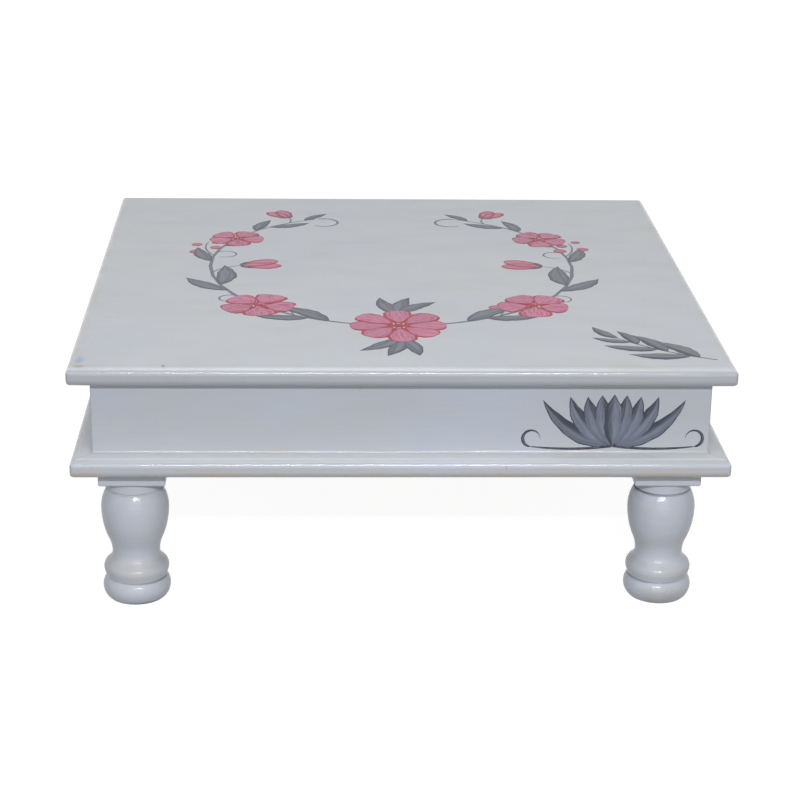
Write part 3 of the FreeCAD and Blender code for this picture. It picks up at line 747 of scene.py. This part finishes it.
class BAJOT_OT_bare_wood(bpy.types.Operator):
    """Give the corner blocks and the battens their sawn wood"""
    bl_idname = "bajot.bare_wood"
    bl_label = "Bare wood"

    def execute(self, context):
        upright = make_bare_wood("sawn_mango_wood_blocks", "z")
        lengthways = make_bare_wood("sawn_mango_wood_battens", "y")
        for corner in CORNERS:
            give_material(f"corner_block_{corner}", upright)
        for side in ("left", "right"):
            give_material(f"top_batten_{side}", lengthways)
        return {"FINISHED"}


class BAJOT_OT_screws(bpy.types.Operator):
    """Give the screws their plated steel"""
    bl_idname = "bajot.screws"
    bl_label = "Screws"

    def execute(self, context):
        steel = make_screw_steel()
        for node in ("base_screws", "top_screws"):
            give_material(node, steel)
        return {"FINISHED"}


# The points round each corner of the filler's path and round its face, and how far its back is tucked in.
CORNER_STEPS = 7
FILLET_STEPS = 7
TUCK = 0.05 * MM
# How many waves of its radius run round it, and their height as a share of the radius.
FILLER_WAVES = ((3, 0.10), (7, 0.10), (13, 0.08), (29, 0.06), (53, 0.05))


def square_path(half, corner, steps):
    """A closed square path with round corners: its points, outward normals and distances, and its length.

    Each corner is a quarter circle, and each side has so many steps.
    """
    points, outward = [], []
    for quarter in range(4):
        angle = math.pi / 2 * (quarter + np.linspace(0, 1, CORNER_STEPS))
        centre = (half - corner) * math.sqrt(2) * heading_to(math.pi / 2 * (quarter + 0.5))
        normal = np.stack([np.cos(angle), np.sin(angle)], axis=1)
        arc = centre + corner * normal
        along = heading_to(math.pi / 2 * (quarter + 2))
        side = arc[-1] + np.linspace(0, 2 * (half - corner), steps)[1:-1, None] * along
        points += [arc, side]
        outward += [normal, np.repeat(normal[-1:], steps - 2, axis=0)]
    points, outward = np.vstack(points), np.vstack(outward)
    gaps = np.linalg.norm(np.diff(points, axis=0, append=points[:1]), axis=1)
    return points, outward, np.concatenate([[0], np.cumsum(gaps)[:-1]]), gaps.sum()


def filler_mesh(name, centres, half, corner, level, radius, upward, steps, seed):
    """Filler in the inner corner between upright square posts and a level board.

    At each point of the square path the filler's face is a quarter circle, hollow outwards, from the post to
    the board, and its back is tucked into both. Its radius is r (1 + a few sines of random phase).
    """
    draw = np.random.default_rng(seed)
    path, outward, travelled, total = square_path(half, corner, steps)
    angle = np.linspace(0, math.pi / 2, FILLET_STEPS)
    out = np.concatenate([1 - np.cos(angle), [0.0]])
    rise = np.concatenate([1 - np.sin(angle), [0.0]])
    tuck_in = np.concatenate([[TUCK], np.zeros(FILLET_STEPS - 1), [TUCK]])
    tuck_down = np.concatenate([np.zeros(FILLET_STEPS - 1), [TUCK, TUCK]])
    points, faces = [], []
    for centre in centres:
        waves = np.zeros(len(path))
        for (turns, size), phase in zip(FILLER_WAVES, draw.uniform(0, 6.28, 5)):
            waves += size * np.sin(2 * math.pi * turns * travelled / total + phase)
        local = radius * (1 + waves)[:, None]
        away = out * local - tuck_in
        height = level + upward * (rise * local - tuck_down)
        flat = path[:, None, :] + away[..., None] * outward[:, None, :] + np.asarray(centre)
        ring = np.concatenate([flat, height[..., None]], axis=-1)
        base = len(points) * height.size + np.arange(height.size).reshape(height.shape)
        ahead, beside = np.roll(base, -1, axis=0), np.roll(base, -1, axis=1)
        quads = np.stack([base, beside, np.roll(ahead, -1, axis=1), ahead], axis=-1).reshape(-1, 4)
        points.append(ring.reshape(-1, 3))
        faces += (quads if upward > 0 else quads[:, ::-1]).tolist()
    mesh = bpy.data.meshes.new(name)
    mesh.from_pydata(np.vstack(points), [], faces)
    return mesh


class BAJOT_OT_filler(bpy.types.Operator):
    """Fill the inner corners with painted filler"""
    bl_idname = "bajot.filler"
    bl_label = "Filler"

    def execute(self, context):
        filler = context.scene.bajot_filler
        enamel = context.scene.bajot_enamel
        material = make_enamel("gloss_enamel_filler", "x", enamel.body, thin=0.4,
                               bands=[("height", LEDGE, 6 * MM, 0.3, enamel.thin, "patches")])
        box = ([(0, 0)], BOX_FRONT, 1.0 * MM)
        heads = ([(x * LEG_MIDDLE, y * LEG_MIDDLE) for x in (-1, 1) for y in (-1, 1)], HEAD_HALF, 1.2 * MM)
        # Name, posts (centres, half width and corner radius), board, radius, way up, steps and seed.
        for name, posts, level, radius, upward, steps, seed in (
                ("filler_box_foot", box, LEDGE, filler.box_radius, 1, 160, 11),
                ("filler_box_head", box, TOP_UNDERSIDE, filler.box_radius, -1, 160, 12),
                ("filler_leg_heads", heads, FRAME_UNDERSIDE, filler.head_radius, -1, 24, 13)):
            mesh = filler_mesh(name, *posts, level, radius, upward, steps, seed)
            add_piece(name, mesh, 50, material)
        return {"FINISHED"}


class BAJOT_OT_garland(bpy.types.Operator):
    """Brush the garland on the top"""
    bl_idname = "bajot.garland"
    bl_label = "Garland"

    def execute(self, context):
        art = context.scene.bajot_garland
        stems, leaves, petals, hearts = [Strokes(TOP_SHEET, art.film, seed) for seed in (21, 22, 23, 24)]
        start = np.array([0.0, -112 * MM])
        for side, heading in ((1, 0.0), (-1, math.pi)):
            self.paint_half(art, stems, leaves, petals, hearts, start, side, heading)
        for lean in (-0.55, 0.0, 0.55):
            for heading in (math.pi / 2, -math.pi / 2):
                outward = 0.8 * art.rosette * heading_to(heading)
                line = draw_line(start + outward, heading, 26 * MM)
                paint_leaf(leaves, line, 0.0, 1, 0.8 * art.leaf_length, lean)
        paint_rosette(petals, hearts, start, art.rosette, 8, math.pi / 2, 4)
        # Strokes, piece, paint, its body, rim and core, its rim's width, its core's depth and its dryness.
        for strokes, piece, paint, body, rim, core, rim_width, core_depth, dryness in (
                (stems, "stems", "stem", art.stem, art.leaf, art.stem, 0.3, 9.0, 0.3),
                (leaves, "leaves", "leaf", art.leaf, art.leaf_rim, art.leaf_core, 0.8, 2.6, 0.3),
                (petals, "petals", "petal", art.petal, art.petal_rim, art.petal_core, 1.1, 2.2, 0.0),
                (hearts, "rosette_hearts", "heart", art.petal_rim, art.petal_rim, art.petal, 0.5, 2.0, 0.0)):
            strokes.finish(f"garland_{piece}", make_brushed_paint(
                f"brushed_paint_{paint}", body, rim, core, rim_width * MM, core_depth * MM, dryness))
        return {"FINISHED"}

    def paint_half(self, art, stems, leaves, petals, hearts, start, side, heading):
        """One half of the garland, from the large rosette in front round to a curl at the back."""
        line = draw_line(start, heading, art.half_length, turn=side * 2.75, swing=side * 0.06)
        stems.add(line, art.stem_width, STEM, wobble=0.2)
        tip, aim = point_on(line, 1.0)
        stems.add(draw_line(tip, aim, 42 * MM, turn=side * 4.2), 0.8 * art.stem_width, STEM)
        for share, size, way in ((0.13, 0.95, 1), (0.17, 0.8, -1), (0.40, 0.9, -1), (0.44, 1.0, 1),
                                 (0.60, 0.8, -1), (0.71, 0.85, 1), (0.84, 0.7, -1), (0.88, 0.7, 1),
                                 (0.97, 0.55, -1)):
            paint_leaf(leaves, line, share, way * side, size * art.leaf_length, 0.62)
        for share, size in ((0.29, 0.76), (0.77, 0.62)):
            centre, aim = point_on(line, share)
            paint_rosette(petals, hearts, centre, size * art.rosette, 5, aim, 4)
        paint_bud(art, petals, leaves, stems, line, 0.52, side, 26 * MM, art.bud)
        paint_bud(art, petals, leaves, stems, line, 0.93, -side, 15 * MM, 0.8 * art.bud)
        paint_sprig(art, petals, stems, line, 0.20, side, 38 * MM, 5)
        paint_sprig(art, petals, stems, line, 0.64, -side, 34 * MM, 4)
        paint_curl(art, stems, line, 0.36, -side, 30 * MM, 4.5)
        paint_curl(art, stems, line, 0.66, side, 34 * MM, 4.8)


class BAJOT_OT_lotus(bpy.types.Operator):
    """Brush the lotus at the right end of the front board"""
    bl_idname = "bajot.lotus"
    bl_label = "Lotus"

    def execute(self, context):
        art = context.scene.bajot_garland
        strokes = Strokes(FRONT_SHEET, 1.3 * art.film, 31)
        tall = art.lotus_height
        foot = np.array([122 * MM, 5 * MM])
        upright = math.pi / 2
        for side in (-1, 1):
            # From the middle outwards: lean, length and width as shares of the height, turn and layer.
            for lean, reach, width, turn, layer in (
                    (0.45, 1.00, 0.40, 0.45, 4), (0.85, 1.08, 0.38, 0.75, 3),
                    (1.18, 1.28, 0.34, 0.95, 2), (1.45, 1.62, 0.28, 0.95, 1)):
                petal = draw_line(foot, upright - side * lean, reach * tall, turn=side * turn)
                strokes.add(petal, width * tall, LEAF, layer, wobble=0.08, flip=side)
            below = foot - np.array([0, 0.5 * MM])
            tendril = draw_line(below, upright - side * 1.7, 1.5 * tall, turn=side * 0.25)
            strokes.add(tendril, 0.05 * tall, STEM)
            tip, aim = point_on(tendril, 1.0)
            strokes.add(draw_line(tip, aim, 0.75 * tall, turn=side * 4.8), 0.06 * tall, COMMA)
        strokes.add(draw_line(foot, upright, 0.98 * tall, swing=0.05), 0.42 * tall, LEAF, 5, wobble=0.08)
        corner = Strokes(TOP_SHEET, 1.3 * art.film, 32)
        stem = draw_line((181 * MM, -174 * MM), 2.75, 1.6 * art.corner_leaf, turn=-0.5)
        corner.add(stem, art.twig_width, STEM)
        # Place along the stem, side and length of each corner leaf.
        for share, side, reach in ((0.16, -1, 0.85), (0.24, 1, 0.85), (0.46, -1, 0.8), (0.55, 1, 0.75),
                                   (0.76, -1, 0.62), (0.84, 1, 0.55), (0.98, 1, 0.6)):
            paint_leaf(corner, stem, share, side, reach * art.corner_leaf, 0.1 if share > 0.9 else 0.7)
        paint = make_brushed_paint("brushed_paint_lotus", art.lotus, art.lotus_rim, art.lotus_core, 0.7 * MM,
                                   3.6 * MM, 0.6, loaded=0.9)
        strokes.finish("lotus_strokes", paint)
        corner.finish("corner_leaves", paint)
        return {"FINISHED"}


# The camera's place and aim, worked out from the photograph's straight edges.
CAMERA_PLACE = (-0.0515, -1.3203, 0.5480)
CAMERA_PITCH = math.radians(-19.87)
CAMERA_YAW = math.radians(-2.33)
CAMERA_ROLL = math.radians(0.865)
CAMERA_LENS = 97.03
SENSOR_WIDTH = 36.0

FLOOR_HALF = 30.0
WHITE = (1.0, 1.0, 1.0)


def seen_rays(add):
    """1 for the rays that the camera sees, directly, in a gloss or through glass, and 0 for the rest."""
    rays = add("LightPath").node.outputs
    seen = add("Math", (rays["Is Camera Ray"], rays["Is Glossy Ray"]), operation="MAXIMUM")
    return add("Math", (seen, rays["Is Transmission Ray"]), operation="MAXIMUM")


class BAJOT_OT_stage(bpy.types.Operator):
    """Set up the floor, the lights and the camera"""
    bl_idname = "bajot.stage"
    bl_label = "Stage"

    def execute(self, context):
        stage = context.scene.bajot_stage
        self.add_floor(stage)
        self.add_dome(stage)
        self.add_lamps(stage)
        self.add_camera()
        context.scene.view_settings.view_transform = "Standard"
        return {"FINISHED"}

    def add_floor(self, stage):
        """A plain floor, white to the camera with the table's shadow, that throws little light back up.

        A camera below it sees through it.
        """
        mesh = bpy.data.meshes.new("floor")
        corners = [(x * FLOOR_HALF, y * FLOOR_HALF, 0) for x, y in ((-1, -1), (1, -1), (1, 1), (-1, 1))]
        mesh.from_pydata(corners, [], [(0, 1, 2, 3)])
        floor = new_object("floor", mesh)
        material, add = new_material("matt_floor")
        seen = seen_rays(add)
        shade = add("Mix", {"Factor": seen, FIRST: stage.bounce, SECOND: stage.floor}, **COLOURS)
        glow = add("Math", (seen, stage.glow), operation="MULTIPLY")
        lit = add("AddShader", (add("BsdfDiffuse", (shade,)), add("Emission", (WHITE, glow))))
        below = add("NewGeometry", output="Backfacing")
        below = add("Math", (below, add("LightPath", output="Is Camera Ray")), operation="MULTIPLY")
        surface = add("MixShader", (below, lit, add("BsdfTransparent")))
        add("OutputMaterial", (surface,))
        mesh.materials.append(material)

    def add_dome(self, stage):
        """Even light from all round, which the camera and reflections see as white."""
        world = bpy.data.worlds.new("dome")
        bpy.context.scene.world = world
        add = empty_tree(world)
        strength = add("Mix", {"Factor": seen_rays(add), "A": stage.dome, "B": 1.0})
        add("OutputWorld", (add("Background", (WHITE, strength)),))

    def add_lamps(self, stage):
        """A strip light above the camera, a softbox over the front edge, and fills left, low and behind."""
        x, y, z = CAMERA_PLACE
        strip_place = (x + stage.strip_shift, y, z + stage.strip_rise)
        # Name, power, place, width, depth and colour of each lamp, and whether the gloss mirrors it.
        for name, power, place, width, depth, code, mirrored in (
                ("strip_light", stage.strip_light, strip_place, stage.strip_width, stage.strip_depth,
                 "#F4F6FF", True),
                ("softbox", stage.softbox, (0.0, -0.35, 0.95), 0.5, 0.5, "#FFFBF4", True),
                ("side_fill", stage.side_fill, (-1.7, -1.2, 0.9), 1.0, 1.0, "#C8DCFF", True),
                ("low_fill", stage.low_fill, (0.0, -2.2, 0.5), 1.6, 1.6, "#FFFFFF", True),
                ("back_fill_left", stage.back_fill, (-1.0, 2.1, 0.25), 1.4, 0.4, "#FFFFFF", False),
                ("back_fill_right", stage.back_fill, (1.0, 2.1, 0.25), 1.4, 0.4, "#FFFFFF", False)):
            lamp = bpy.data.lights.new(name, "AREA")
            lamp.shape = "RECTANGLE"
            lamp.size = width
            lamp.size_y = depth
            lamp.energy = power
            lamp.color = linear(code)
            light = new_object(name, lamp)
            light.visible_glossy = mirrored
            light.location = place
            across, ahead, down = -place[0], -place[1], place[2] - LEDGE
            tilt = math.atan2(math.hypot(across, ahead), down)
            light.rotation_euler = (tilt, 0.0, math.atan2(-across, ahead))

    def add_camera(self):
        """The camera at the photograph's place and aim."""
        lens = bpy.data.cameras.new("camera")
        lens.lens = CAMERA_LENS
        lens.sensor_width = SENSOR_WIDTH
        lens.sensor_fit = "HORIZONTAL"
        camera = new_object("camera", lens)
        turn = Matrix.Rotation(CAMERA_YAW, 4, "Z") @ Matrix.Rotation(math.pi / 2 + CAMERA_PITCH, 4, "X")
        turn = turn @ Matrix.Rotation(CAMERA_ROLL, 4, "Z")
        camera.matrix_world = Matrix.Translation(CAMERA_PLACE) @ turn
        bpy.context.scene.camera = camera


class BAJOT_PT_panel(bpy.types.Panel):
    """The table's settings and steps"""
    bl_label = "Bajot"
    bl_idname = "BAJOT_PT_panel"
    bl_space_type = "VIEW_3D"
    bl_region_type = "UI"
    bl_category = "Bajot"

    def draw(self, context):
        for name, group in GROUPS.items():
            box = self.layout.box()
            for setting in group.__annotations__:
                box.prop(getattr(context.scene, name), setting)
        for operator in OPERATORS:
            self.layout.operator(operator.bl_idname)


OPERATORS = (BAJOT_OT_enamel, BAJOT_OT_bare_wood, BAJOT_OT_screws, BAJOT_OT_filler, BAJOT_OT_garland,
             BAJOT_OT_lotus, BAJOT_OT_stage)
CLASSES = (*GROUPS.values(), *OPERATORS, BAJOT_PT_panel)


def register():
    """Add the classes and the settings to Blender."""
    for item in CLASSES:
        bpy.utils.register_class(item)
    for name, group in GROUPS.items():
        setattr(bpy.types.Scene, name, PointerProperty(type=group))


def unregister():
    """Take the settings and the classes away again."""
    for name in GROUPS:
        delattr(bpy.types.Scene, name)
    for item in reversed(CLASSES):
        bpy.utils.unregister_class(item)


def main():
    """Register the add-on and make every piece."""
    register()
    bpy.ops.bajot.enamel()
    bpy.ops.bajot.bare_wood()
    bpy.ops.bajot.screws()
    bpy.ops.bajot.filler()
    bpy.ops.bajot.garland()
    bpy.ops.bajot.lotus()
    bpy.ops.bajot.stage()


if __name__ == "__main__":
    main()
